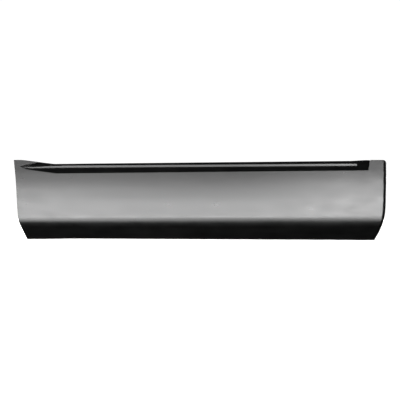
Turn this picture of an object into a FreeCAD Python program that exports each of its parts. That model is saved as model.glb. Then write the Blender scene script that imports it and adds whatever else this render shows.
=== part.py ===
"""Lower molding of a left front car door: one injection-moulded panel with its retainer clips.

Frame: +X runs along the door towards the rear of the car, +Y points into the car and +Z is up. The
plane Y = 0 is the door skin that the rim of the molding touches. The origin is the axis of the
central locating pin, halfway along the molding and halfway up it.
"""
import FreeCAD, Part
import math
import os
import re
import Sketcher
from FreeCAD import Placement, Rotation, Vector

SIZES = {
    # Panel as seen from the front
    "length": 1056.5,
    "height": 227.0,
    "waist_drop": 63.5,
    "waist_inset": 8.9,
    "waist_radius": 700.0,
    "left_knee_rise": 55.5,
    "left_knee_inset": 16.5,
    "left_knee_radius": 78.0,
    "left_foot_inset": 37.8,
    "left_foot_rise": 2.3,
    "bow_inset": 188.0,
    "bow_rise": 3.8,
    "right_foot_inset": 32.9,
    "right_knee_rise": 51.3,
    "right_knee_inset": 7.5,
    "right_knee_radius": 200.0,
    "ear_length": 24.5,
    "ramp_end": 112.5,
    "ramp_drop": 11.0,
    "ramp_radius": 80.0,
    "crown_inset": 443.0,
    "crown_drop": 6.6,
    "pillar_ramp_end": 99.0,
    "pillar_ramp_drop": 2.3,
    "pillar_ramp_start": 60.0,
    "top_corner_radius": 12.0,
    # Section of the panel, with depths measured out from the door skin
    "wall": 3.0,
    "top_depth": 17.2,
    "break_depth": 37.3,
    "break_drop": 76.0,
    "face_radius": 460.0,
    "bend_depth": 43.0,
    "bend_rise": 52.0,
    "bend_radius": 60.0,
    "foot_depth": 13.0,
    "rolled_radius": 11.0,
    "edge_radius": 1.6,
    # Channel along the top edge: a shoulder that slopes back from the face, climbing to the rear
    "channel_drop": 34.4,
    "channel_climb": 0.0066,
    "channel_slope": 0.756,
    "channel_start": 121.5,
    "channel_end": 55.0,
    "channel_end_lean": 14.3,
    "channel_tool_out": 4.0,
    "channel_tool_up": 3.7,
    # Pointed front tip of the channel, where the shoulder rises to the face
    "tip_inset": 19.5,
    "tip_drop": 17.6,
    "tip_length": 18.5,
    "tip_low_drop": 29.5,
    "tip_root_drop": 17.0,
    "tip_root_sink": 4.7,
    "tip_high_drop": 11.8,
    "tip_proud": 1.2,
    "tip_sink": 0.3,
    # Raised bead in the channel, growing out of its tip, with a jog near its front end
    "bead_tall": 6.2,
    "bead_tilt": 0.16,
    "bead_up": 17.9,
    "bead_proud": 4.6,
    "bead_root": 1.2,
    "bead_end": 85.0,
    "bead_tip_inset": 26.0,
    "bead_tip_tall": 0.8,
    "bead_tip_drop": 20.7,
    "bead_tip_front": 21.9,
    "bead_tip_root": 19.6,
    "bead_neck_inset": 54.0,
    "bead_neck_tall": 3.8,
    "bead_neck_drop": 22.1,
    "bead_neck_front": 21.4,
    "bead_neck_root": 17.2,
    "bead_jog_inset": 93.5,
    "bead_jog_tall": 4.8,
    "bead_jog_drop": 20.4,
    "bead_jog_front": 19.6,
    "bead_jog_root": 13.3,
    "bead_jog_length": 60.0,
    # Clip towers in two staggered rows
    "upper_clips": 5.0,
    "upper_row_up": 58.0,
    "lower_row_down": 46.0,
    "row_margin": 93.25,
    "tower_width": 26.0,
    "tower_tall": 24.0,
    "tower_wall": 2.0,
    "tower_plate": 2.5,
    "tower_standoff": 6.0,
    # Retainer clips
    "clip_foot_radius": 8.0,
    "clip_foot": 1.6,
    "clip_play": 0.2,
    "clip_neck_radius": 3.4,
    "clip_collar": 1.4,
    "clip_stem_radius": 3.0,
    "clip_seal_radius": 9.0,
    "clip_seal": 2.0,
    "clip_seal_rim": 0.7,
    "clip_shank": 1.2,
    "clip_barb_radius": 4.6,
    "clip_barb_at": 4.0,
    "clip_reach": 14.0,
    "clip_tip_radius": 1.6,
    "clip_split": 1.4,
    # Ribs on the back
    "rib_thickness": 1.8,
    "rib_depth": 20.0,
    # Locating pins on cross fins
    "pin_radius": 4.0,
    "pin_reach": 10.0,
    "pin_chamfer": 1.2,
    "pin_column_radius": 5.5,
    "pin_fin": 24.0,
    "pin_fin_standoff": 2.0,
    "second_pin_at": 380.0,
    # Screw holes in the bottom flange
    "flange_hole_radius": 2.75,
    "flange_hole_inset": 5.5,
    "flange_hole_margin": 153.25,
    "flange_holes": 4.0,
    # Stock by which cutting tools run past the panel
    "overrun": 16.0,
}

doc = FreeCAD.newDocument("door_molding")
sheet = doc.addObject("Spreadsheet::Sheet", "Sizes")
for row, (name, value) in enumerate(SIZES.items(), start=1):
    sheet.set(f"A{row}", name)
    sheet.set(f"B{row}", str(value))
    sheet.setAlias(f"B{row}", name)
doc.recompute()

FRONT = Rotation(Vector(1, 0, 0), 90)
SECTION = Rotation(Vector(1, 1, 1), 120)


def sized(formula):
    """Turn plain size names in a formula into references to the cells of the sheet."""
    return re.sub(r"[a-z_]+", lambda word: f"Sizes.{word[0]}" if word[0] in SIZES else word[0], formula)


def worth(formula):
    """The present value of a formula of the sizes."""
    return float(sheet.evalExpression(formula))


def bind(thing, **formulas):
    """Bind properties of an object to formulas of the sizes."""
    for name, formula in formulas.items():
        thing.setExpression(name, sized(formula))
    return thing


def outline(sketch, corners):
    """Draw a closed outline through corners (across, up, radius), rounded where a radius is given."""
    spots = [Vector(worth(across), worth(up), 0) for across, up, radius in corners]
    count = len(corners)
    ends = []
    for i, (across, up, radius) in enumerate(corners):
        here = spots[i]
        back = (spots[i - 1] - here).normalize()
        ahead = (spots[(i + 1) % count] - here).normalize()
        if radius:
            half = back.getAngle(ahead) / 2
            reach = worth(radius) / math.tan(half)
            sag = worth(radius) / math.sin(half) - worth(radius)
            middle = here + (back + ahead).normalize() * sag
            ends.append((here + back * reach, middle, here + ahead * reach))
        else:
            ends.append((here, None, here))
    lines = []
    for i in range(count):
        stretch = Part.LineSegment(ends[i][2], ends[(i + 1) % count][0])
        lines.append(sketch.addGeometry(stretch, False))
    for i, (across, up, radius) in enumerate(corners):
        before, after = lines[i - 1], lines[i]
        if radius:
            first = ends[i][0]
            arc = sketch.addGeometry(Part.Arc(*ends[i]), False)
            gaps = [(sketch.getPoint(arc, end) - first).Length for end in (1, 2)]
            near = 1 if gaps[0] < gaps[1] else 2
            sketch.addConstraint(Sketcher.Constraint("Tangent", before, 2, arc, near))
            sketch.addConstraint(Sketcher.Constraint("Tangent", after, 1, arc, 3 - near))
            index = sketch.addConstraint(Sketcher.Constraint("Radius", arc, worth(radius)))
            sketch.setExpression(f"Constraints[{index}]", sized(radius))
            point = sketch.addGeometry(Part.Point(spots[i]), True)
            sketch.addConstraint(Sketcher.Constraint("PointOnObject", point, 1, before))
            sketch.addConstraint(Sketcher.Constraint("PointOnObject", point, 1, after))
        else:
            sketch.addConstraint(Sketcher.Constraint("Coincident", before, 2, after, 1))
            point = after
        for kind, formula in (("DistanceX", across), ("DistanceY", up)):
            index = sketch.addConstraint(Sketcher.Constraint(kind, -1, 1, point, 1, worth(formula)))
            sketch.setExpression(f"Constraints[{index}]", sized(formula))
    return sketch


def free_sketch(name, turn, corners, **place):
    """A sketch in the front or the section plane, placed by formulas for x, y and z."""
    sketch = doc.addObject("Sketcher::SketchObject", name)
    sketch.Placement = Placement(Vector(), turn)
    for axis, formula in place.items():
        sketch.setExpression(f".Placement.Base.{axis}", sized(formula))
    return outline(sketch, corners)


def grown(name, sketch, by):
    """The outline of a sketch moved out by a formula, or in where the formula is negative."""
    wire = doc.addObject("Part::Offset2D", name)
    wire.Source = sketch
    wire.Join = "Intersection"
    return bind(wire, Value=by)


def prism(name, profile, direction, ahead, behind="0"):
    """A straight extrusion of a closed profile."""
    solid = doc.addObject("Part::Extrusion", name)
    solid.Base = profile
    solid.DirMode = "Custom"
    solid.Dir = direction
    solid.Solid = True
    return bind(solid, LengthFwd=ahead, LengthRev=behind)


def ruled_loft(name, profiles):
    """A straight-sided loft through closed profiles."""
    solid = doc.addObject("Part::Loft", name)
    solid.Sections = profiles
    solid.Solid = True
    solid.Ruled = True
    return solid


def cut(name, base, tool):
    solid = doc.addObject("Part::Cut", name)
    solid.Base, solid.Tool = base, tool
    return solid


def common(name, base, tool):
    solid = doc.addObject("Part::Common", name)
    solid.Base, solid.Tool = base, tool
    return solid


def fused(name, *shapes):
    solid = doc.addObject("Part::MultiFuse", name)
    solid.Shapes = list(shapes)
    return solid


def front_edges(shape, wanted):
    """Names of the edges on the front of the panel whose start, middle and end pass a test."""
    names = []
    for number, edge in enumerate(shape.Edges, start=1):
        low, high = edge.ParameterRange
        points = [edge.valueAt(low), edge.valueAt((low + high) / 2), edge.valueAt(high)]
        if max(point.y for point in points) < worth("0 - wall") and wanted(*points):
            names.append(f"Edge{number}")
    return names


def rolled(first, middle, last):
    """True along the right end, from the top down round the knee to the foot."""
    right = min(first.x, middle.x, last.x) > worth("length / 2 - right_foot_inset - wall - overrun")
    return right and abs(first.z - last.z) > worth("wall / 2")


def eased(first, middle, last):
    """True along the left end."""
    left = max(first.x, middle.x, last.x) < worth("0 - length / 2 + left_foot_inset + wall")
    return left and abs(first.z - last.z) > worth("wall / 2")


def rounded(name, blank, *steps):
    """A body that rounds front edges of a blank, one radius and its test of edges after another."""
    body = doc.addObject("PartDesign::Body", name)
    body.BaseFeature = blank
    doc.recompute()
    base = body.Group[0]
    for step, (radius, wanted) in enumerate(steps, start=1):
        fillet = body.newObject("PartDesign::Fillet", f"{name}Edges{step}")
        fillet.Base = (base, front_edges(base.Shape, wanted))
        base = bind(fillet, Radius=radius)
        body.Tip = fillet
        doc.recompute()
    return body


def face_at(drop):
    """Depth of the face at a drop below the top edge, on the straight part of its section."""
    return f"(top_depth + ({drop}) * (break_depth - top_depth) / break_drop)"


# Panel: the section run along the door, trimmed to its front outline
section = free_sketch("PanelSection", SECTION, [
    ("overrun", "0 - height / 2 - overrun", None),
    ("overrun", "height / 2 + overrun", None),
    ("0 - top_depth + overrun * (break_depth - top_depth) / break_drop", "height / 2 + overrun", None),
    ("0 - break_depth", "height / 2 - break_drop", "face_radius"),
    ("0 - bend_depth", "0 - height / 2 + bend_rise", "bend_radius"),
    ("0 - foot_depth + overrun * (bend_depth - foot_depth) / bend_rise", "0 - height / 2 - overrun", None),
])
sides = free_sketch("PanelSides", FRONT, [
    ("0 - length / 2 - overrun * waist_inset / waist_drop", "height / 2 + overrun", None),
    ("0 - length / 2 + waist_inset", "height / 2 - waist_drop", "waist_radius"),
    ("0 - length / 2 + left_knee_inset", "0 - height / 2 + left_knee_rise", "left_knee_radius"),
    ("0 - length / 2 + left_foot_inset", "0 - height / 2 + left_foot_rise", None),
    ("0 - length / 2 + bow_inset", "0 - height / 2 + bow_rise", None),
    ("length / 2 - right_foot_inset", "0 - height / 2", None),
    ("length / 2 - right_knee_inset", "0 - height / 2 + right_knee_rise", "right_knee_radius"),
    ("length / 2 + overrun * right_knee_inset / (height - right_knee_rise)", "height / 2 + overrun", None),
])
above = free_sketch("AboveTopEdge", FRONT, [
    ("0 - length / 2 - 3 * overrun", "height / 2", None),
    ("0 - length / 2 + ear_length", "height / 2", "ramp_radius"),
    ("0 - length / 2 + ramp_end", "height / 2 - ramp_drop", "ramp_radius"),
    ("0 - length / 2 + crown_inset", "height / 2 - crown_drop", None),
    ("length / 2 - pillar_ramp_end", "height / 2 - pillar_ramp_drop", None),
    ("length / 2 - pillar_ramp_start", "height / 2", None),
    ("length / 2", "height / 2", "top_corner_radius"),
    ("length / 2", "height / 2 - 2 * overrun", None),
    ("length / 2 + 3 * overrun", "height / 2 - 2 * overrun", None),
    ("length / 2 + 3 * overrun", "height / 2 + 3 * overrun", None),
    ("0 - length / 2 - 3 * overrun", "height / 2 + 3 * overrun", None),
])
doc.recompute()
ALONG = Vector(1, 0, 0)
OUTWARD = Vector(0, -1, 0)


def envelope(name, section_wire, side_wire, above_wire, back, *roundings):
    """One side of the wall: the section and front outline in one solid with its rolled end."""
    run = prism(f"{name}Run", section_wire, ALONG, "length / 2 + overrun", "length / 2 + overrun")
    plan = prism(f"{name}Plan", side_wire, OUTWARD, "bend_depth + overrun", back)
    soft = rounded(f"{name}Rounded", common(f"{name}Blank", run, plan), *roundings)
    trim = prism(f"{name}TopTrim", above_wire, OUTWARD, "bend_depth + overrun", "overrun")
    return cut(f"{name}Form", soft, trim)


outer = envelope("Outer", section, sides, above, "0", ("rolled_radius", rolled), ("edge_radius", eased))
inner = envelope(
    "Inner",
    grown("SectionInside", section, "0 - wall"),
    grown("SidesInside", sides, "0 - wall"),
    grown("AboveInside", above, "wall"),
    "wall",
    ("rolled_radius - wall", rolled),
)


# Channel: a tool lofted from the pointed tip to past its rear end, then trimmed to the leaning end
def shoulder_up(across):
    """Height of the channel's lower edge at a place along the door."""
    return f"(height / 2 - channel_drop + channel_climb * ({across}))"


TIP = "(0 - length / 2 + tip_inset)"
THROAT = "(0 - length / 2 + tip_inset + tip_length)"
START = "(0 - length / 2 + channel_start)"
PAST_END = "(length / 2 - channel_end + 2 * overrun)"


def channel_station(name, across):
    """Triangle of the channel tool at its full depth."""
    edge = face_at("channel_drop")
    low = shoulder_up(across)
    return free_sketch(name, SECTION, [
        (f"0 - {edge} - overrun * channel_slope", f"{low} - overrun", None),
        (f"0 - {edge} + 3 * overrun * channel_slope", f"{low} + 3 * overrun", None),
        (f"0 - {edge} - channel_tool_out", f"{low} + channel_drop + channel_tool_up", None),
    ], x=across)


apex = free_sketch("ChannelApex", SECTION, [
    (f"0 - {face_at('tip_drop')} - tip_proud", "height / 2 - tip_drop - 2 * tip_proud", None),
    (f"0 - {face_at('tip_drop')} + tip_sink", "height / 2 - tip_drop", None),
    (f"0 - {face_at('tip_drop')} - tip_proud", "height / 2 - tip_drop + 2 * tip_proud", None),
], x=TIP)
throat = free_sketch("ChannelThroat", SECTION, [
    (f"0 - {face_at('tip_low_drop')} - tip_proud", "height / 2 - tip_low_drop", None),
    (f"0 - {face_at('tip_root_drop')} + tip_root_sink", "height / 2 - tip_root_drop", None),
    (f"0 - {face_at('tip_high_drop')} - tip_proud", "height / 2 - tip_high_drop", None),
], x=THROAT)
stations = [
    apex,
    throat,
    channel_station("ChannelStart", START),
    channel_station("ChannelPastEnd", PAST_END),
]
doc.recompute()
leaning_end = free_sketch("ChannelEndWall", FRONT, [
    ("length / 2 - channel_end", shoulder_up("length / 2 - channel_end"), None),
    ("length / 2 - channel_end - overrun * tan(channel_end_lean)",
     shoulder_up("length / 2 - channel_end") + " - overrun", None),
    ("length / 2 + 2 * overrun", shoulder_up("length / 2 - channel_end") + " - overrun", None),
    ("length / 2 + 2 * overrun", "height / 2 + 3 * overrun", None),
    ("length / 2 - channel_end + (channel_drop + 3 * overrun) * tan(channel_end_lean)",
     shoulder_up("length / 2 - channel_end") + " + channel_drop + 3 * overrun", None),
])


def channel_tool(name, profiles, end_wire):
    run = ruled_loft(f"{name}Run", profiles)
    block = prism(f"{name}End", end_wire, OUTWARD, "2 * bend_depth", "4 * overrun")
    return cut(name, run, block)


channel = channel_tool("ChannelTool", stations, leaning_end)
channel_inside = channel_tool(
    "ChannelInside",
    [grown(f"{profile.Name}Inside", profile, "wall") for profile in stations],
    grown("EndWallInside", leaning_end, "0 - wall"),
)
skin = cut("Skin", outer, channel)
core = cut("Core", inner, channel_inside)
doc.recompute()


# Bead: lofted on the shoulder, with its front end running out near the tip of the channel
def bead_station(name, across, middle, tall, front, root):
    """Section of the bead: a front that leans back a little, and a root sunk in the shoulder."""
    return free_sketch(name, SECTION, [
        (f"0 - {front} - bead_tilt * {tall} / 2", f"{middle} - {tall} / 2", None),
        (f"0 - {front} + bead_tilt * {tall} / 2", f"{middle} + {tall} / 2", None),
        (f"0 - {root} + channel_slope * {tall} / 2", f"{middle} + {tall} / 2", None),
        (f"0 - {root} - channel_slope * {tall} / 2", f"{middle} - {tall} / 2", None),
    ], x=across)


def early_station(name, place):
    """Section of the bead before its jog, from the sizes of that place."""
    return bead_station(
        name, f"(0 - length / 2 + {place}_inset)", f"(height / 2 - {place}_drop)", f"{place}_tall",
        f"{place}_front", f"{place}_root")


def late_station(name, across):
    """Section of the bead at full height, which keeps its distance from the channel's lower edge."""
    floor = f"({face_at('channel_drop')} - channel_slope * bead_up)"
    return bead_station(
        name, across, f"({shoulder_up(across)} + bead_up)", "bead_tall",
        f"({floor} + bead_proud)", f"({floor} - bead_root)")


bead = ruled_loft("Bead", [
    early_station("BeadTip", "bead_tip"),
    early_station("BeadNeck", "bead_neck"),
    early_station("BeadJogStart", "bead_jog"),
    late_station("BeadJogEnd", "(0 - length / 2 + bead_jog_inset + bead_jog_length)"),
    late_station("BeadEnd", "(length / 2 - bead_end)"),
])


# Helpers for pieces made as bodies of their own
def body_sketch(body, name, role, **offset):
    """A sketch on one of the body's own origin planes, moved off it by formulas."""
    sketch = body.newObject("Sketcher::SketchObject", name)
    plane = [f for f in body.Origin.OriginFeatures if f.Role == role][0]
    sketch.AttachmentSupport = [(plane, "")]
    sketch.MapMode = "FlatFace"
    for axis, formula in offset.items():
        sketch.setExpression(f".AttachmentOffset.Base.{axis}", sized(formula))
    return sketch


def rectangle(sketch, across, up, wide, tall):
    """A rectangle about a middle point."""
    left, right = f"{across} - ({wide}) / 2", f"{across} + ({wide}) / 2"
    low, high = f"{up} - ({tall}) / 2", f"{up} + ({tall}) / 2"
    return outline(sketch, [(left, low, None), (right, low, None), (right, high, None), (left, high, None)])


def circle(sketch, across, up, radius):
    middle = Vector(worth(across), worth(up), 0)
    ring = sketch.addGeometry(Part.Circle(middle, Vector(0, 0, 1), worth(radius)), False)
    index = sketch.addConstraint(Sketcher.Constraint("Radius", ring, worth(radius)))
    sketch.setExpression(f"Constraints[{index}]", sized(radius))
    for kind, formula in (("DistanceX", across), ("DistanceY", up)):
        index = sketch.addConstraint(Sketcher.Constraint(kind, -1, 1, ring, 3, worth(formula)))
        sketch.setExpression(f"Constraints[{index}]", sized(formula))
    return sketch


def pad(body, sketch, length):
    """A pad from a sketch, along the sketch's own normal."""
    feature = body.newObject("PartDesign::Pad", f"{sketch.Name}Pad")
    feature.Profile = sketch
    bind(feature, Length=length)
    body.Tip = feature
    return feature


def repeated(body, features, spacing, count):
    """Repeat features of a body along the door."""
    doc.recompute()
    pattern = body.newObject("PartDesign::LinearPattern", f"{body.Name}Row")
    pattern.Originals = features
    axis = [f for f in body.Origin.OriginFeatures if f.Role == "X_Axis"][0]
    pattern.Direction = (axis, [""])
    pattern.Mode = "Spacing"
    bind(pattern, Offset=spacing, Occurrences=count)
    body.Tip = pattern
    return body


PITCH = "((length - 2 * row_margin) / (upper_clips - 1))"
ROWS = {
    "Upper": ("(0 - length / 2 + row_margin)", "upper_row_up", "upper_clips"),
    "Lower": (f"(0 - length / 2 + row_margin + {PITCH} / 2)", "(0 - lower_row_down)", "(upper_clips - 1)"),
}


def towers(row):
    """Outsides of the clip towers of one row, from their tops down through the panel."""
    first, up, count = ROWS[row]
    body = doc.addObject("PartDesign::Body", f"{row}Towers")
    sketch = body_sketch(body, f"{row}Tower", "XZ_Plane", z="tower_standoff")
    rectangle(sketch, first, up, "tower_width", "tower_tall")
    return repeated(body, [pad(body, sketch, "bend_depth")], PITCH, count)


def tower_rooms(row):
    """Rooms inside the towers, open towards the rear, with the slot that a clip's neck slides along."""
    first, up, count = ROWS[row]
    body = doc.addObject("PartDesign::Body", f"{row}Rooms")
    room = body_sketch(body, f"{row}Room", "XZ_Plane", z="tower_standoff + tower_plate")
    rectangle(room, f"{first} + tower_wall", up, "tower_width", "tower_tall - 2 * tower_wall")
    slot = body_sketch(body, f"{row}Slot", "XZ_Plane", z="tower_standoff - tower_plate")
    half = "(clip_neck_radius + clip_play)"
    rectangle(slot, f"{first} + tower_width / 2", up, "tower_width", f"2 * {half}")
    seat = body_sketch(body, f"{row}Seat", "XZ_Plane", z="tower_standoff - tower_plate")
    circle(seat, first, up, half)
    parts = [
        pad(body, room, "bend_depth"),
        pad(body, slot, "3 * tower_plate"),
        pad(body, seat, "3 * tower_plate"),
    ]
    return repeated(body, parts, PITCH, count)


def clips(row):
    """Nylon clips of one row: foot in the tower, neck in its slot, seal on the skin, barbed shank."""
    first, up, count = ROWS[row]
    body = doc.addObject("PartDesign::Body", f"{row}Clips")
    profile = body_sketch(body, f"{row}ClipProfile", "XY_Plane", x=first, z=up)
    plate_low = "(0 - tower_standoff - tower_plate - clip_play)"
    plate_high = "(0 - tower_standoff + clip_play)"
    outline(profile, [
        ("0", f"{plate_low} - clip_foot", None),
        ("clip_foot_radius", f"{plate_low} - clip_foot", None),
        ("clip_foot_radius", plate_low, None),
        ("clip_neck_radius", plate_low, None),
        ("clip_neck_radius", plate_high, None),
        ("clip_foot_radius", plate_high, None),
        ("clip_foot_radius", f"{plate_high} + clip_collar", None),
        ("clip_stem_radius", f"{plate_high} + clip_collar", None),
        ("clip_stem_radius", "0 - clip_seal", None),
        ("clip_seal_radius", "0 - clip_seal_rim", None),
        ("clip_seal_radius", "0", None),
        ("clip_stem_radius", "0", None),
        ("clip_stem_radius", "clip_shank", None),
        ("clip_barb_radius", "clip_barb_at", None),
        ("clip_tip_radius", "clip_reach", None),
        ("0", "clip_reach", None),
    ])
    turned = body.newObject("PartDesign::Revolution", f"{row}ClipTurned")
    turned.Profile = profile
    turned.ReferenceAxis = (profile, ["V_Axis"])
    turned.Angle = 360
    body.Tip = turned
    doc.recompute()
    split = body_sketch(body, f"{row}ClipSplit", "XY_Plane", x=first, z=up)
    rectangle(split, "0", "clip_shank + clip_reach / 2", "clip_split", "clip_reach")
    pocket = body.newObject("PartDesign::Pocket", f"{row}ClipSplitCut")
    pocket.Profile = split
    pocket.SideType = "Symmetric"
    bind(pocket, Length="4 * clip_barb_radius")
    body.Tip = pocket
    return repeated(body, [turned, pocket], PITCH, count)


def ribs():
    """Cross ribs between the towers and one long rib through the locating pins."""
    body = doc.addObject("PartDesign::Body", "Ribs")
    cross = body_sketch(body, "CrossRib", "XZ_Plane", z="rib_depth")
    rectangle(cross, f"(0 - length / 2 + row_margin + {PITCH} / 4)", "0", "rib_thickness", "height")
    along = body_sketch(body, "LongRib", "XZ_Plane", z="rib_depth")
    rectangle(along, "0", "0", "length", "rib_thickness")
    crosses = pad(body, cross, "bend_depth")
    repeated(body, [crosses], f"{PITCH} / 2", "2 * (upper_clips - 1)")
    pad(body, along, "bend_depth")
    return body


def pins():
    """Columns of the locating pins, each stiffened by two crossed fins."""
    body = doc.addObject("PartDesign::Body", "PinColumns")
    for name, across in (("Centre", "0"), ("Rear", "second_pin_at")):
        upright = body_sketch(body, f"{name}Upright", "XZ_Plane", z="pin_fin_standoff")
        rectangle(upright, across, "0", "rib_thickness", "pin_fin")
        pad(body, upright, "bend_depth")
        level = body_sketch(body, f"{name}Level", "XZ_Plane", z="pin_fin_standoff")
        rectangle(level, across, "0", "pin_fin", "rib_thickness")
        pad(body, level, "bend_depth")
        column = body_sketch(body, f"{name}Column", "XZ_Plane", z="pin_fin_standoff")
        circle(column, across, "0", "pin_column_radius")
        pad(body, column, "bend_depth")
    return body


def pin_ends():
    """Locating pins, from their columns to past the door skin."""
    body = doc.addObject("PartDesign::Body", "PinEnds")
    for name, across in (("Centre", "0"), ("Rear", "second_pin_at")):
        profile = body_sketch(body, f"{name}PinEnd", "XY_Plane", x=across)
        outline(profile, [
            ("0", "0 - pin_fin_standoff - wall", None),
            ("pin_radius", "0 - pin_fin_standoff - wall", None),
            ("pin_radius", "pin_reach - pin_chamfer", None),
            ("pin_radius - pin_chamfer", "pin_reach", None),
            ("0", "pin_reach", None),
        ])
        turned = body.newObject("PartDesign::Revolution", f"{name}PinTurned")
        turned.Profile = profile
        turned.ReferenceAxis = (profile, ["V_Axis"])
        turned.Angle = 360
        body.Tip = turned
        doc.recompute()
    return body


def flange_holes():
    """Drills for the screw holes through the bottom flange."""
    body = doc.addObject("PartDesign::Body", "FlangeHoles")
    sketch = body_sketch(body, "FlangeHole", "XY_Plane", z="0 - height / 2 - wall")
    circle(sketch, "0 - length / 2 + flange_hole_margin", "0 - flange_hole_inset", "flange_hole_radius")
    spacing = "(length - 2 * flange_hole_margin) / (flange_holes - 1)"
    return repeated(body, [pad(body, sketch, "4 * wall")], spacing, "flange_holes")


# Back structure: left standing in the core, so that every rib and tower grows out of the wall
standing = fused("Standing", towers("Upper"), towers("Lower"), ribs(), pins())
open_core = cut("OpenCore", core, standing)
shell = cut("Shell", skin, open_core)
rooms = common("Rooms", core, fused("RoomTools", tower_rooms("Upper"), tower_rooms("Lower")))
holes = flange_holes()
molding = cut("Molding", fused("Solids", shell, bead, pin_ends()), fused("Hollows", rooms, holes))
doc.recompute()
molding.Label = "door_molding"
retainers = doc.addObject("Part::Compound", "Retainers")
retainers.Links = [clips("Upper"), clips("Lower")]
retainers.Label = "retainer_clips"
doc.recompute()

for thing in doc.Objects:
    if {"Invalid", "Error"} & set(thing.State):
        raise RuntimeError(f"{thing.Label} failed: {thing.State}")
os.makedirs("parts", exist_ok=True)
for piece in (molding, retainers):
    if piece.Shape.isNull() or not piece.Shape.isValid():
        raise RuntimeError(f"{piece.Label} has no valid shape")
    piece.Shape.exportStep(f"parts/{piece.Label}.step")
    print(piece.Label, len(piece.Shape.Solids), "solids,", round(piece.Shape.Volume), "mm3")
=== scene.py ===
"""Looks of the lower molding of a car's front door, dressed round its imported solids.

Metres, in the frame of the solids: +X to the rear of the car, +Y into the car, +Z up.
"""
import math

import bmesh
import bpy
from bpy.props import FloatProperty, FloatVectorProperty, IntProperty, PointerProperty
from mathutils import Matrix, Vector


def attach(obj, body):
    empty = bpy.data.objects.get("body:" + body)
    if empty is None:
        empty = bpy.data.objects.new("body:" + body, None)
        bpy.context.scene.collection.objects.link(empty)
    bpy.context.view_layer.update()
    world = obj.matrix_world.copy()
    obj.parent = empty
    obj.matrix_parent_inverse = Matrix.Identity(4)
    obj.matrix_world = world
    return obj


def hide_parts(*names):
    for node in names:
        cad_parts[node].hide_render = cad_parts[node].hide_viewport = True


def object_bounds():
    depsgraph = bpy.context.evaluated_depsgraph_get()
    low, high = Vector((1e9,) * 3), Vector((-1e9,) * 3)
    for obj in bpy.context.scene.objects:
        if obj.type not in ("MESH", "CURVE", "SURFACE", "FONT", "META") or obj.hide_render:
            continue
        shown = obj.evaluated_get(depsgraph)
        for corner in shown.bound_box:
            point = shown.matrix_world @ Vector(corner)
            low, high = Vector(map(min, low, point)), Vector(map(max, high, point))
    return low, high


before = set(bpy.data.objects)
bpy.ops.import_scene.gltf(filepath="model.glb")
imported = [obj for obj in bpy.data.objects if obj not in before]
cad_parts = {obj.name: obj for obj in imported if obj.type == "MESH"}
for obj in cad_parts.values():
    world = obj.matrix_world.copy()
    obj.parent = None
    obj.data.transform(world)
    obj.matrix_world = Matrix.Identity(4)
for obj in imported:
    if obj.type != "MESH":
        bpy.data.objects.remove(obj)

bl_info = {
    "name": "Car door molding",
    "version": (1, 0, 0),
    "blender": (4, 5, 0),
    "location": "View3D > Sidebar > Molding",
    "description": "Builds the lower molding of a car door, its retainer clips and a studio",
    "category": "Object",
}

CAD_LOW, CAD_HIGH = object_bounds()
MM = 0.001


# Helpers for colours, nodes and meshes
def paint(code):
    """Linear colour with full alpha from an sRGB hex value."""
    parts = [int(code[i:i + 2], 16) / 255 for i in (1, 3, 5)]
    linear = [p / 12.92 if p <= 0.04045 else ((p + 0.055) / 1.055) ** 2.4 for p in parts]
    return (*linear, 1.0)


def add_node(tree, kind, inputs=None, **settings):
    """Add one node; inputs are values, or the sockets that feed them, by name or place."""
    made = tree.nodes.new(kind)
    for name, value in settings.items():
        setattr(made, name, value)
    for name, value in (inputs or {}).items():
        if isinstance(value, bpy.types.NodeSocket):
            tree.links.new(value, made.inputs[name])
        else:
            made.inputs[name].default_value = value
    return made


def new_material(name):
    """A new material with its tree, its object coordinates and the shader on its output."""
    material = bpy.data.materials.new(name)
    material.use_nodes = True
    tree = material.node_tree
    tree.nodes.clear()
    coords = add_node(tree, "ShaderNodeTexCoord").outputs["Object"]
    shader = add_node(tree, "ShaderNodeBsdfPrincipled")
    add_node(tree, "ShaderNodeOutputMaterial", {"Surface": shader.outputs["BSDF"]})
    return material, tree, coords, shader


def cloud(tree, coords, size, stretch=(1, 1, 1), detail=2.0, roughness=0.5):
    """Noise from 0 to 1 whose blotches are about `size` metres wide, drawn out by `stretch`."""
    place = add_node(tree, "ShaderNodeMapping", {
        "Vector": coords, "Scale": [1 / (size * share) for share in stretch]})
    noise = add_node(tree, "ShaderNodeTexNoise", {
        "Vector": place.outputs["Vector"], "Scale": 1.0, "Detail": detail, "Roughness": roughness})
    return noise.outputs["Fac"]


def keep(mesh_data, name):
    """A new object at the origin that holds a mesh."""
    piece = bpy.data.objects.new(name, mesh_data)
    bpy.context.scene.collection.objects.link(piece)
    return piece


def bake(piece):
    """Turn a piece's modifiers into plain mesh."""
    bpy.context.view_layer.update()
    graph = bpy.context.evaluated_depsgraph_get()
    finished = bpy.data.meshes.new_from_object(piece.evaluated_get(graph))
    piece.modifiers.clear()
    piece.data = finished


def smooth_over(piece, limit):
    """Shade a piece smooth, but for edges where its faces turn by more than a limit in degrees."""
    work = bmesh.new()
    work.from_mesh(piece.data)
    for face in work.faces:
        face.smooth = True
    for edge in work.edges:
        edge.smooth = len(edge.link_faces) == 2 and edge.calc_face_angle() < math.radians(limit)
    work.to_mesh(piece.data)
    work.free()


# Widths of the plastic's patterns
FLOW_CLOUD = 34 * MM
FLOW_STREAK = 9 * MM
SCUFF = 1.6 * MM
# Eroded grain is 0.1 mm across; it is drawn ten times as coarse so that some of it shows
GRAIN = 1.1 * MM
GRAIN_DEPTH = 0.1 * MM
# Distances from the front end at which scuffs begin, and at which they are strongest
SCUFFS_BEGIN = 130 * MM
SCUFFS_FULL = 20 * MM
SCUFF_ROUGHNESS = 0.09


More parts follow.
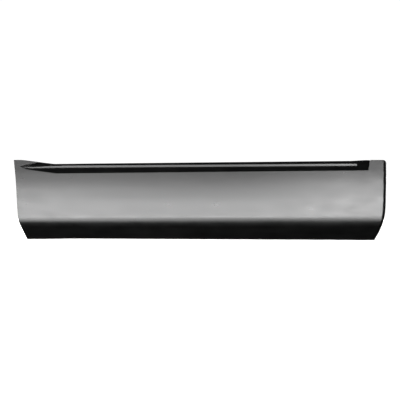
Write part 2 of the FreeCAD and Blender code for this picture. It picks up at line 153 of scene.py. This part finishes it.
def satin_black_plastic(finish):
    """Polypropylene blend dyed black, injection moulded in a finely spark-eroded tool.

    The eye gets one broad soft highlight with hardly any colour under it, faint clouds where the
    melt flowed and cooled unevenly, and light scuffs from handling near the front end.
    """
    material, tree, coords, shader = new_material("moulded_polypropylene_satin_black")
    flow = cloud(tree, coords, FLOW_CLOUD, (1.6, 1.0, 0.8), 3.0, 0.6)
    streaks = cloud(tree, coords, FLOW_STREAK, (7.0, 1.0, 1.0), 2.0, 0.5)
    grain = cloud(tree, coords, GRAIN, detail=1.0)
    scuffs = cloud(tree, coords, SCUFF, (1.0, 1.0, 14.0), 1.0)
    split = add_node(tree, "ShaderNodeSeparateXYZ", {0: coords})
    front_end = add_node(tree, "ShaderNodeMapRange", {
        "Value": split.outputs["X"],
        "From Min": CAD_LOW.x + SCUFFS_BEGIN, "From Max": CAD_LOW.x + SCUFFS_FULL,
        "To Min": 0.0, "To Max": 1.0}, interpolation_type="SMOOTHSTEP")
    marks = add_node(tree, "ShaderNodeMapRange", {
        "Value": scuffs, "From Min": 0.62, "From Max": 0.72,
        "To Min": 0.0, "To Max": SCUFF_ROUGHNESS})
    wear = add_node(tree, "ShaderNodeMath", {
        0: marks.outputs[0], 1: front_end.outputs[0]}, operation="MULTIPLY")
    blend = add_node(tree, "ShaderNodeMath", {
        0: streaks, 1: 0.35, 2: flow}, operation="MULTIPLY_ADD")
    gloss = add_node(tree, "ShaderNodeMapRange", {
        "Value": blend.outputs[0], "From Min": 0.35, "From Max": 1.0,
        "To Min": finish.roughness - finish.clouding,
        "To Max": finish.roughness + finish.clouding})
    rough = add_node(tree, "ShaderNodeMath", {
        0: gloss.outputs[0], 1: wear.outputs[0]}, operation="ADD")
    tint = add_node(tree, "ShaderNodeMix", {
        "Factor": flow, "A": tuple(finish.plastic), "B": tuple(finish.plastic_light),
    }, data_type="RGBA")
    tree.links.new(tint.outputs[2], shader.inputs["Base Color"])
    tree.links.new(rough.outputs[0], shader.inputs["Roughness"])
    bump = add_node(tree, "ShaderNodeBump", {
        "Height": grain, "Strength": 0.12, "Distance": GRAIN_DEPTH})
    tree.links.new(bump.outputs[0], shader.inputs["Normal"])
    shader.inputs["IOR"].default_value = 1.55
    return material


def natural_nylon(finish):
    """Undyed polyamide 6.6 from a polished tool: waxy off-white that lets a little light in."""
    material, tree, coords, shader = new_material("moulded_nylon_natural")
    haze = cloud(tree, coords, 5 * MM)
    tint = add_node(tree, "ShaderNodeMix", {
        "Factor": haze, "A": tuple(finish.nylon), "B": paint("#d9d0bb")}, data_type="RGBA")
    rough = add_node(tree, "ShaderNodeMapRange", {"Value": haze, "To Min": 0.3, "To Max": 0.46})
    tree.links.new(tint.outputs[2], shader.inputs["Base Color"])
    tree.links.new(rough.outputs[0], shader.inputs["Roughness"])
    shader.inputs["IOR"].default_value = 1.53
    shader.inputs["Subsurface Weight"].default_value = 0.25
    shader.inputs["Subsurface Radius"].default_value = (1.2 * MM, 1.0 * MM, 0.7 * MM)
    shader.inputs["Subsurface Scale"].default_value = 1.0
    return material


def soft_seal():
    """Foamed EPDM, moulded round the clip: dull charcoal with the fine open pores of its skin,
    darkened in their dents with painted shade.
    """
    material, tree, coords, shader = new_material("foamed_epdm_charcoal")
    # Pores are 0.2 mm across; they are drawn three times as wide so that they show
    pores_and_painted_shade = cloud(tree, coords, 0.6 * MM, detail=1.0)
    # The colour is darker where the pores dip and lighter on the skin between them: painted shade
    # in the pores
    tint = add_node(tree, "ShaderNodeMix", {
        "Factor": pores_and_painted_shade, "A": paint("#1b1b1c"), "B": paint("#353536")}, data_type="RGBA")
    dents = add_node(tree, "ShaderNodeBump", {
        "Height": pores_and_painted_shade, "Strength": 0.5, "Distance": 0.15 * MM})
    tree.links.new(tint.outputs[2], shader.inputs["Base Color"])
    tree.links.new(dents.outputs[0], shader.inputs["Normal"])
    shader.inputs["Roughness"].default_value = 0.85
    shader.inputs["IOR"].default_value = 1.5
    return material


def studio_floor():
    """Matt white painted board: plain and pale, with a barely seen roller texture."""
    material, tree, coords, shader = new_material("painted_board_matt_white")
    nap = cloud(tree, coords, 8 * MM)
    tint = add_node(tree, "ShaderNodeMix", {
        "Factor": nap, "A": paint("#f0f0ee"), "B": paint("#f4f4f2")}, data_type="RGBA")
    tree.links.new(tint.outputs[2], shader.inputs["Base Color"])
    shader.inputs["Roughness"].default_value = 0.9
    shader.inputs["Specular IOR Level"].default_value = 0.2
    return material


class MoldingFinish(bpy.types.PropertyGroup):
    """Colours and surface of the panel and its clips"""
    plastic: FloatVectorProperty(
        name="Plastic", description="Colour of the moulded panel",
        default=paint("#010101"), subtype="COLOR", size=4)
    plastic_light: FloatVectorProperty(
        name="Plastic, lighter clouds",
        description="Colour of the panel where the melt cooled slower",
        default=paint("#020202"), subtype="COLOR", size=4)
    roughness: FloatProperty(
        name="Roughness", description="Mean roughness of the panel",
        default=0.31, min=0.05, max=1.0)
    clouding: FloatProperty(
        name="Clouding", description="How far the roughness wanders in the clouds",
        default=0.05, min=0.0, max=0.2)
    edge_radius: FloatProperty(
        name="Edge radius", description="Radius on the panel's edges",
        default=0.8 * MM, min=0.0, unit="LENGTH")
    nylon: FloatVectorProperty(
        name="Nylon", description="Colour of the clips",
        default=paint("#e6dfcd"), subtype="COLOR", size=4)


class ClipSizes(bpy.types.PropertyGroup):
    """Places and sizes of the retainer clips"""
    pitch: FloatProperty(
        name="Pitch", description="From one clip of a row to the next",
        default=217.5 * MM, unit="LENGTH")
    first: FloatProperty(
        name="First clip", description="Place of the front clip of the upper row",
        default=-435 * MM, unit="LENGTH")
    upper_count: IntProperty(
        name="Upper clips", description="Clips in the upper row; the lower row has one fewer",
        default=5, min=2)
    upper_row: FloatProperty(
        name="Upper row", description="Height of the upper row",
        default=58 * MM, unit="LENGTH")
    lower_row: FloatProperty(
        name="Lower row", description="Height of the lower row",
        default=-46 * MM, unit="LENGTH")
    slit: FloatProperty(
        name="Slit", description="Gap between the two legs of a shank",
        default=1.4 * MM, unit="LENGTH")
    facets: IntProperty(
        name="Facets", description="Sides of the turned forms",
        default=32, min=8)


class StudioSettings(bpy.types.PropertyGroup):
    """Camera, lamps and floor"""
    distance: FloatProperty(
        name="Camera distance", description="From the camera to the door skin",
        default=3.161, unit="LENGTH")
    lens: FloatProperty(
        name="Lens", description="Focal length in millimetres",
        default=100.0)
    lamp_distance: FloatProperty(
        name="Lamp distance", description="From the softboxes to the molding",
        default=3.6, unit="LENGTH")
    front_strength: FloatProperty(
        name="Front strength", description="Factor on the front softboxes",
        default=1.0, min=0.0)
    ambient: FloatProperty(
        name="Ambient", description="Strength of the dim light from all round",
        default=0.004, min=0.0)
    floor_half: FloatProperty(
        name="Floor half width", description="Half the side of the floor",
        default=20.0, unit="LENGTH")


# Zone of the channel in the front view, and the part of it that holds the narrow tip
CHANNEL_FRONT = CAD_LOW.x + 10 * MM
CHANNEL_TIP_END = CAD_LOW.x + 50 * MM
CHANNEL_REAR = CAD_HIGH.x - 24 * MM
CHANNEL_BELOW = CAD_HIGH.z - 45 * MM
# Faces that turn by more than this meet in a crease, in degrees
CREASE = 32
CHANNEL_CREASE = 9
# Shares of the edge radius
CHANNEL_SHARE = 0.6
TIP_SHARE = 0.3
# Vertices this close are one, and faces this close to level, in degrees, are one
SAME_PLACE = 0.01 * MM
SAME_PLANE = 0.4


def in_channel(edge):
    """True for an edge of the channel or its bead, seen from the front."""
    middle = (edge.verts[0].co + edge.verts[1].co) / 2
    return (
        CHANNEL_FRONT < middle.x < CHANNEL_REAR
        and middle.z > CHANNEL_BELOW
        and all(face.normal.y < 0.5 for face in edge.link_faces))


def is_crease(edge):
    """True for an edge of the moulding tool, False for a facet of a rounding.

    Facets of the roundings lie up to 25 degrees apart, as much as the face and the channel's
    floor, so the low limit holds only round the channel.
    """
    if len(edge.link_faces) != 2:
        return True
    return edge.calc_face_angle() > math.radians(CHANNEL_CREASE if in_channel(edge) else CREASE)


def share_of_radius(edge):
    """How much of the edge radius a crease gets: less in the channel, least in its narrow tip."""
    if not in_channel(edge):
        return 1.0
    front = min(vert.co.x for vert in edge.verts)
    return TIP_SHARE if front < CHANNEL_TIP_END else CHANNEL_SHARE


class MOLDING_OT_panel(bpy.types.Operator):
    """Build the moulded panel from a merged copy of its solid, with eased edges"""
    bl_idname = "molding.panel"
    bl_label = "Moulded panel"

    def execute(self, context):
        finish = context.scene.molding_finish
        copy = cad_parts["door_molding"].data.copy()
        copy.name = "panel"
        work = bmesh.new()
        work.from_mesh(copy)
        bmesh.ops.remove_doubles(work, verts=work.verts, dist=SAME_PLACE)
        bmesh.ops.dissolve_limit(
            work, angle_limit=math.radians(SAME_PLANE), verts=work.verts, edges=work.edges,
            delimit={"NORMAL"})
        weight = work.edges.layers.float.new("bevel_weight_edge")
        for face in work.faces:
            face.smooth = True
        for edge in work.edges:
            crease = is_crease(edge)
            edge.smooth = not crease
            edge[weight] = share_of_radius(edge) if crease else 0.0
        work.to_mesh(copy)
        work.free()
        copy.materials.clear()
        copy.materials.append(satin_black_plastic(finish))
        panel = keep(copy, "panel")
        easing = panel.modifiers.new("Eased edges", "BEVEL")
        easing.width = finish.edge_radius
        easing.segments = 2
        easing.limit_method = "WEIGHT"
        easing.harden_normals = True
        # Facets of the roundings are so short that the clamp would leave no radius at all
        easing.use_clamp_overlap = False
        even = panel.modifiers.new("Even shading", "WEIGHTED_NORMAL")
        even.keep_sharp = True
        bake(panel)
        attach(panel, "root")
        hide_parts("door_molding")
        return {"FINISHED"}


# Profiles of a clip as (radius, depth) in millimetres, with depths measured from the door skin
CLIP_BODY = (
    (0, -10.3), (7.5, -10.3), (7.85, -10.15), (8, -9.8), (8, -9.2), (7.85, -8.85), (7.5, -8.7),
    (3.6, -8.7), (3.4, -8.5), (3.4, -6.0), (3.6, -5.8), (7.5, -5.8), (7.85, -5.65), (8, -5.3),
    (8, -4.9), (7.85, -4.55), (7.5, -4.4), (3.2, -4.4), (3, -4.2), (3, 1.3), (3.3, 1.9),
    (4.35, 3.6), (4.6, 4.1), (4.55, 4.6), (4.2, 5.6), (2.1, 12.9), (1.75, 13.6), (1.1, 13.95),
    (0, 14),
)
CLIP_SEAL = (
    (3.05, -1.95), (3.9, -1.8), (5.2, -1.45), (7.4, -1.0), (8.6, -0.7), (8.95, -0.5), (9, -0.25),
    (8.85, -0.05), (8.5, -0.02), (3.05, -0.02),
)
# Depths at which the slit of a shank starts, and of the shank's end
SLIT_START = 1.2 * MM
SHANK_END = 14 * MM
# Faces of a clip that turn by more than this meet in a hard edge, in degrees
CLIP_CREASE = 28


def turned(name, profile, facets, closed):
    """A form of revolution about the Y axis from a profile of (radius, depth) in millimetres."""
    work = bmesh.new()
    ring = [work.verts.new((radius * MM, depth * MM, 0)) for radius, depth in profile]
    lines = [work.edges.new(pair) for pair in zip(ring, ring[1:])]
    if closed:
        lines.append(work.edges.new((ring[-1], ring[0])))
    bmesh.ops.spin(
        work, geom=ring + lines, cent=(0, 0, 0), axis=(0, 1, 0), angle=math.tau, steps=facets,
        use_merge=True)
    bmesh.ops.remove_doubles(work, verts=work.verts, dist=0.002 * MM)
    bmesh.ops.recalc_face_normals(work, faces=work.faces)
    form = bpy.data.meshes.new(name)
    work.to_mesh(form)
    work.free()
    return form


def row_tree(name, slit):
    """Nodes that set copies of one clip's form in two staggered rows, cut by a slit where asked."""
    tree = bpy.data.node_groups.new(name, "GeometryNodeTree")
    face = tree.interface
    face.new_socket("Form", in_out="INPUT", socket_type="NodeSocketGeometry")
    for label in (
            "Pitch", "First clip", "Upper row", "Lower row", "Slit", "Slit start", "Shank end"):
        face.new_socket(label, in_out="INPUT", socket_type="NodeSocketFloat")
    face.new_socket("Upper clips", in_out="INPUT", socket_type="NodeSocketInt")
    face.new_socket("Material", in_out="INPUT", socket_type="NodeSocketMaterial")
    face.new_socket("Rows", in_out="OUTPUT", socket_type="NodeSocketGeometry")
    given = add_node(tree, "NodeGroupInput").outputs
    form = given["Form"]
    if slit:
        # The blade is as deep as the shank, so from the slit's start it passes the end
        size = add_node(tree, "ShaderNodeCombineXYZ", {
            "X": given["Slit"], "Y": given["Shank end"], "Z": given["Shank end"]})
        blade = add_node(tree, "GeometryNodeMeshCube", {"Size": size.outputs[0]})
        middle = add_node(tree, "ShaderNodeMath", {
            0: given["Shank end"], 1: 0.5, 2: given["Slit start"]}, operation="MULTIPLY_ADD")
        shift = add_node(tree, "ShaderNodeCombineXYZ", {"Y": middle.outputs[0]})
        moved = add_node(tree, "GeometryNodeTransform", {
            "Geometry": blade.outputs["Mesh"], "Translation": shift.outputs[0]})
        form = add_node(tree, "GeometryNodeMeshBoolean", {
            "Mesh 1": form, "Mesh 2": moved.outputs[0]}, operation="DIFFERENCE").outputs["Mesh"]
    step = add_node(tree, "ShaderNodeCombineXYZ", {"X": given["Pitch"]})
    half_on = add_node(tree, "ShaderNodeMath", {
        0: given["Pitch"], 1: 0.5, 2: given["First clip"]}, operation="MULTIPLY_ADD")
    one_fewer = add_node(tree, "ShaderNodeMath", {
        0: given["Upper clips"], 1: 1.0}, operation="SUBTRACT")
    rows = []
    for across, up, count in (
            (given["First clip"], given["Upper row"], given["Upper clips"]),
            (half_on.outputs[0], given["Lower row"], one_fewer.outputs[0])):
        start = add_node(tree, "ShaderNodeCombineXYZ", {"X": across, "Z": up})
        line = add_node(tree, "GeometryNodeMeshLine", {
            "Count": count, "Start Location": start.outputs[0], "Offset": step.outputs[0],
        }, mode="OFFSET")
        rows.append(line.outputs[0])
    joined = add_node(tree, "GeometryNodeJoinGeometry")
    for row in reversed(rows):
        tree.links.new(row, joined.inputs[0])
    copies = add_node(tree, "GeometryNodeInstanceOnPoints", {
        "Points": joined.outputs[0], "Instance": form})
    real = add_node(tree, "GeometryNodeRealizeInstances", {"Geometry": copies.outputs[0]})
    dressed = add_node(tree, "GeometryNodeSetMaterial", {
        "Geometry": real.outputs[0], "Material": given["Material"]})
    add_node(tree, "NodeGroupOutput", {"Rows": dressed.outputs[0]})
    return tree


class MOLDING_OT_clips(bpy.types.Operator):
    """Build the retainer clips in their two rows, each a nylon body and a foam seal"""
    bl_idname = "molding.clips"
    bl_label = "Retainer clips"

    def execute(self, context):
        sizes = context.scene.molding_clips
        finish = context.scene.molding_finish
        for name, profile, closed, slit, material in (
                ("clip_bodies", CLIP_BODY, False, True, natural_nylon(finish)),
                ("clip_seals", CLIP_SEAL, True, False, soft_seal())):
            piece = keep(turned(name, profile, sizes.facets, closed), name)
            rows = piece.modifiers.new("Rows", "NODES")
            rows.node_group = row_tree(name, slit)
            values = {
                "Pitch": sizes.pitch, "First clip": sizes.first,
                "Upper row": sizes.upper_row, "Lower row": sizes.lower_row,
                "Slit": sizes.slit, "Slit start": SLIT_START, "Shank end": SHANK_END,
                "Upper clips": sizes.upper_count, "Material": material,
            }
            for socket in rows.node_group.interface.items_tree:
                if socket.name in values:
                    rows[socket.identifier] = values[socket.name]
            bake(piece)
            smooth_over(piece, CLIP_CREASE)
            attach(piece, "root")
            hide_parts("retainer_clips")
        return {"FINISHED"}


# Softboxes in front of the molding: radiance in W/(sr m2) for each field of the bank, a row for
# each step of height and a column for each step of direction, both in degrees
BANK_HEIGHTS = (-25, -15, -7, 0, 5, 10, 16, 24, 35)
BANK_DIRECTIONS = (-25, -12, 0, 12, 25)
BANK_RADIANCE = (
    (3.1, 3.3, 0, 0),
    (13.4, 7.3, 6.2, 16.2),
    (19.8, 9.3, 11.5, 0),
    (21.8, 22.7, 23.7, 24.7),
    (0, 0, 0, 20.0),
    (22.4, 8.8, 7.0, 11.0),
    (3.3, 3.7, 1.9, 17.5),
    (4.2, 3.0, 1.3, 4.9),
)
# Softboxes past the front end and behind: name, directions and heights in degrees, radiance
OTHER_SOFTBOXES = (
    ("side_softbox", (-78, -42), (-12, 32), 9.0),
    ("rear_softbox_near", (135, 190), (-18, 40), 5.0),
    ("rear_softbox_far", (190, 245), (-18, 40), 7.0),
)
# The floor's own lamp hangs this high, this many times as wide as half the floor
FLOOR_LAMP_UP = 4.0
FLOOR_LAMP_SPREAD = 3.2
FLOOR_LAMP_RADIANCE = 1.32
# What the camera sees past the floor: a little over white, as the floor is
BACKDROP = 1.05
# Gap between the molding's lowest edge and the floor
FLOOR_GAP = 0.2 * MM
# The photo's middle lies a little to the front of the molding's
CAMERA_ACROSS = -0.75 * MM
SENSOR_WIDTH = 36.0


def softbox(name, spot, wide, tall, radiance, lit=None):
    """A soft lamp aimed at the molding's middle, unseen by cameras; `lit` is all that it lights."""
    lamp = bpy.data.lights.new(name, "AREA")
    lamp.shape = "RECTANGLE"
    lamp.size, lamp.size_y = wide, tall
    lamp.energy = math.pi * wide * tall * radiance
    holder = bpy.data.objects.new(name, lamp)
    holder.location = spot
    holder.rotation_euler = (-Vector(spot)).to_track_quat("-Z", "Y").to_euler()
    holder.visible_camera = False
    bpy.context.scene.collection.objects.link(holder)
    if lit:
        holder.light_linking.receiver_collection = lit


def round_spot(distance, direction, height):
    """A place round the molding; direction 0 is straight in front and 90 past its rear end."""
    direction, height = math.radians(direction), math.radians(height)
    level = math.cos(height)
    return distance * Vector((
        math.sin(direction) * level, -math.cos(direction) * level, math.sin(height)))


def part_of_sphere(name, distance, directions, heights, radiance):
    """A softbox that fills a field of directions and heights, seen from the molding's middle."""
    direction, height = sum(directions) / 2, sum(heights) / 2
    wide = 2 * distance * math.tan(math.radians(directions[1] - directions[0]) / 2)
    tall = 2 * distance * math.tan(math.radians(heights[1] - heights[0]) / 2)
    spot = round_spot(distance, direction, height)
    softbox(name, spot, wide * math.cos(math.radians(height)), tall, radiance)


def lay_floor(half):
    """Lay the floor, with a lamp of its own."""
    level = CAD_LOW.z - FLOOR_GAP
    corners = [(x * half, y * half, level) for x, y in ((-1, -1), (1, -1), (1, 1), (-1, 1))]
    board = bpy.data.meshes.new("floor")
    board.from_pydata(corners, [], [(0, 1, 2, 3)])
    board.materials.append(studio_floor())
    floor = keep(board, "floor")
    # The molding hangs as on a white page, so its board gives no glare and lets low lamps through
    floor.visible_glossy = False
    floor.visible_diffuse = False
    floor.visible_shadow = False
    only_floor = bpy.data.collections.new("floor_only")
    only_floor.objects.link(floor)
    spread = FLOOR_LAMP_SPREAD * half
    softbox("floor_lamp", (0, 0, FLOOR_LAMP_UP), spread, spread, FLOOR_LAMP_RADIANCE, only_floor)


def hang_softboxes(distance, front_strength):
    """Hang the bank of softboxes in front, and the others."""
    for heights, row in zip(zip(BANK_HEIGHTS, BANK_HEIGHTS[1:]), BANK_RADIANCE):
        for directions, radiance in zip(zip(BANK_DIRECTIONS, BANK_DIRECTIONS[1:]), row):
            if radiance:
                name = f"front_softbox_{heights[0]}_{directions[0]}"
                part_of_sphere(name, distance, directions, heights, radiance * front_strength)
    for name, directions, heights, radiance in OTHER_SOFTBOXES:
        part_of_sphere(name, distance, directions, heights, radiance)


def fill_world(scene, ambient):
    """Give the scene a white backdrop that lights the molding only dimly."""
    world = bpy.data.worlds.new("studio")
    scene.world = world
    world.use_nodes = True
    tree = world.node_tree
    tree.nodes.clear()
    rays = add_node(tree, "ShaderNodeLightPath")
    light = add_node(tree, "ShaderNodeMapRange", {
        "Value": rays.outputs["Is Camera Ray"], "To Min": ambient, "To Max": BACKDROP})
    air = add_node(tree, "ShaderNodeBackground", {
        "Color": paint("#ffffff"), "Strength": light.outputs[0]})
    add_node(tree, "ShaderNodeOutputWorld", {"Surface": air.outputs[0]})


def set_camera(scene, distance, lens):
    """Look at the molding straight from in front, as the photo does."""
    view = bpy.data.cameras.new("photo_view")
    view.lens = lens
    view.sensor_width = SENSOR_WIDTH
    view.dof.use_dof = False
    camera = bpy.data.objects.new("photo_view", view)
    camera.location = (CAMERA_ACROSS, -distance, 0)
    camera.rotation_euler = (math.radians(90), 0, 0)
    scene.collection.objects.link(camera)
    scene.camera = camera


class MOLDING_OT_studio(bpy.types.Operator):
    """Set the floor, the soft lamps, the world and the camera"""
    bl_idname = "molding.studio"
    bl_label = "Studio"

    def execute(self, context):
        scene = context.scene
        settings = scene.molding_studio
        lay_floor(settings.floor_half)
        hang_softboxes(settings.lamp_distance, settings.front_strength)
        fill_world(scene, settings.ambient)
        set_camera(scene, settings.distance, settings.lens)
        scene.view_settings.view_transform = "Standard"
        scene.view_settings.look = "None"
        return {"FINISHED"}


class MOLDING_PT_sidebar(bpy.types.Panel):
    """Lists the sizes and colours, the pieces of the molding and its studio"""
    bl_idname = "MOLDING_PT_sidebar"
    bl_label = "Door molding"
    bl_space_type = "VIEW_3D"
    bl_region_type = "UI"
    bl_category = "Molding"

    def draw(self, context):
        scene = context.scene
        for settings in (scene.molding_finish, scene.molding_clips, scene.molding_studio):
            for name in settings.bl_rna.properties.keys():
                if name not in ("rna_type", "name"):
                    self.layout.prop(settings, name)
        for step in STEPS:
            self.layout.operator(step.bl_idname)


STEPS = (MOLDING_OT_panel, MOLDING_OT_clips, MOLDING_OT_studio)
CLASSES = (MoldingFinish, ClipSizes, StudioSettings, *STEPS, MOLDING_PT_sidebar)


def register():
    for item in CLASSES:
        bpy.utils.register_class(item)
    bpy.types.Scene.molding_finish = PointerProperty(type=MoldingFinish)
    bpy.types.Scene.molding_clips = PointerProperty(type=ClipSizes)
    bpy.types.Scene.molding_studio = PointerProperty(type=StudioSettings)


def unregister():
    del bpy.types.Scene.molding_studio
    del bpy.types.Scene.molding_clips
    del bpy.types.Scene.molding_finish
    for item in reversed(CLASSES):
        bpy.utils.unregister_class(item)


def main():
    """Register everything and build the pieces in order."""
    register()
    bpy.ops.molding.panel()
    bpy.ops.molding.clips()
    bpy.ops.molding.studio()


if __name__ == "__main__":
    main()
